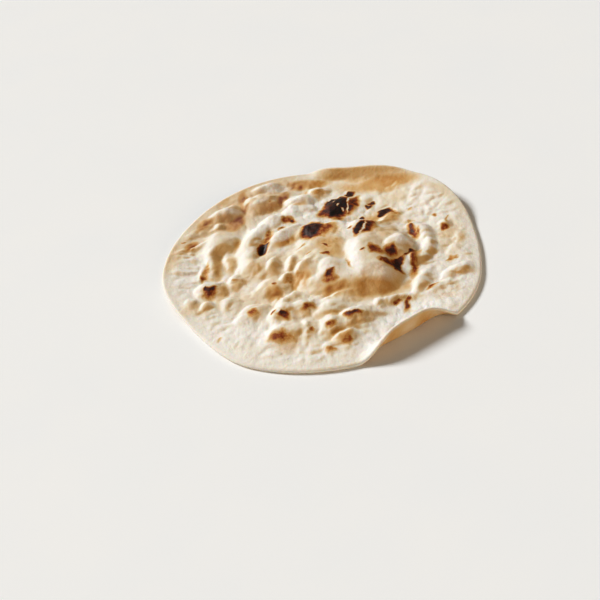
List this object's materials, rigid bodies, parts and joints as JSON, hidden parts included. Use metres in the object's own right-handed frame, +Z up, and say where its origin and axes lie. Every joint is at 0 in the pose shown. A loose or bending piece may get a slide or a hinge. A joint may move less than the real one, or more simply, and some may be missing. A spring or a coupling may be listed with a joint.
{
  "type": "tandoori roti",
  "caption": "Round tandoor-baked flatbread with a blistered, charred upper face and a rim that lifts at the back and curls up at the front.",
  "frame": {"origin": "on the table under the middle of the roti's box", "axes": "+Z up through the blistered face, -Y towards the side that the picture looks from, +X to its right"},
  "size_m": [0.199, 0.1994, 0.0151],
  "materials": {
    "baked_dough": "dry matte wheat dough, floury cream, toasted tan on the flanks of its blisters, with brown and black char spots"
  },
  "bodies": {
    "root": {"roti": "baked_dough"}
  },
  "joints": []
}
